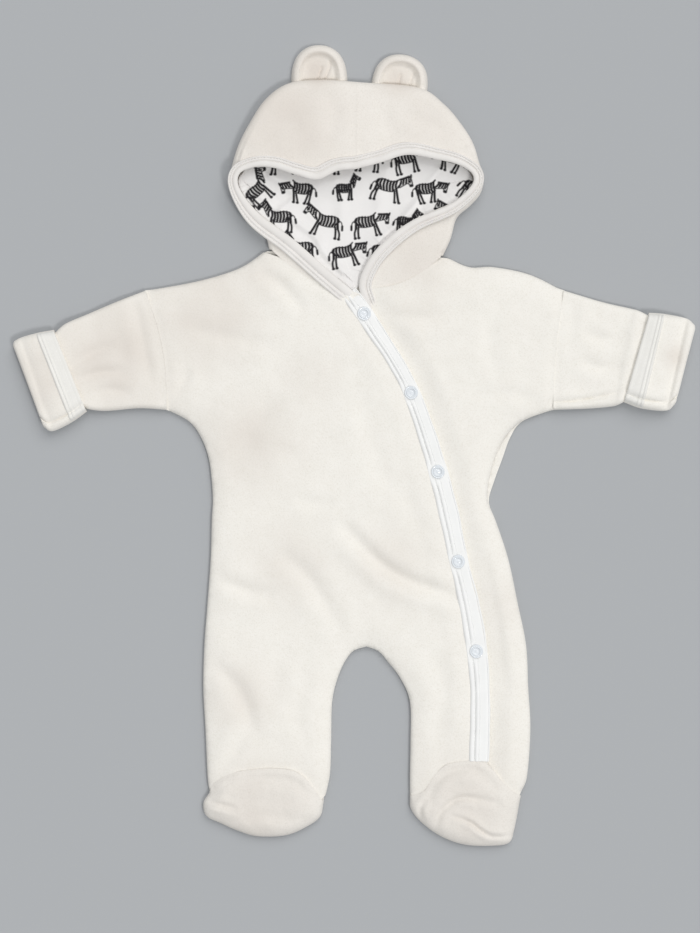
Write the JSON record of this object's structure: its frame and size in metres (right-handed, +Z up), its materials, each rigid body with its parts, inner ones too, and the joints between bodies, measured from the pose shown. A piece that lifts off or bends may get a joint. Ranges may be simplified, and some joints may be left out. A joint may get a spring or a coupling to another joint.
{
  "type": "baby snowsuit",
  "caption": "Hooded, footed fleece baby overall laid flat, with round ears, a printed hood lining, a diagonal snap front and turned-back cuffs.",
  "frame": {"origin": "on the surface that the suit lies on, under the middle of the suit's outline", "axes": "+Z up out of the chest, +Y towards the top of the hood, +X towards the wearer's left"},
  "size_m": [0.6386, 0.7506, 0.0259],
  "materials": {
    "fleece": "soft matt fleece with a short nap",
    "jersey": "fine white jersey binding",
    "lining": "white cotton jersey with a black zebra print",
    "snap": "white glossy plastic"
  },
  "bodies": {
    "root": {"back": "fleece", "front_right": "fleece", "front_left": "fleece", "sleeve_right": "fleece", "sleeve_left": "fleece", "cuff_right": "fleece", "cuff_left": "fleece", "hem_right": "jersey", "hem_left": "jersey", "hood_right": "fleece", "hood_left": "fleece", "hood_lining": "lining", "binding_hood": "jersey", "binding_front": "jersey", "ear_right": "fleece", "ear_left": "fleece", "ear_right_inner": "fleece", "ear_left_inner": "fleece", "foot_right": "fleece", "foot_left": "fleece", "sole_right": "fleece", "sole_left": "fleece", "snap_1": "snap", "snap_2": "snap", "snap_3": "snap", "snap_4": "snap", "snap_5": "snap"}
  },
  "joints": []
}
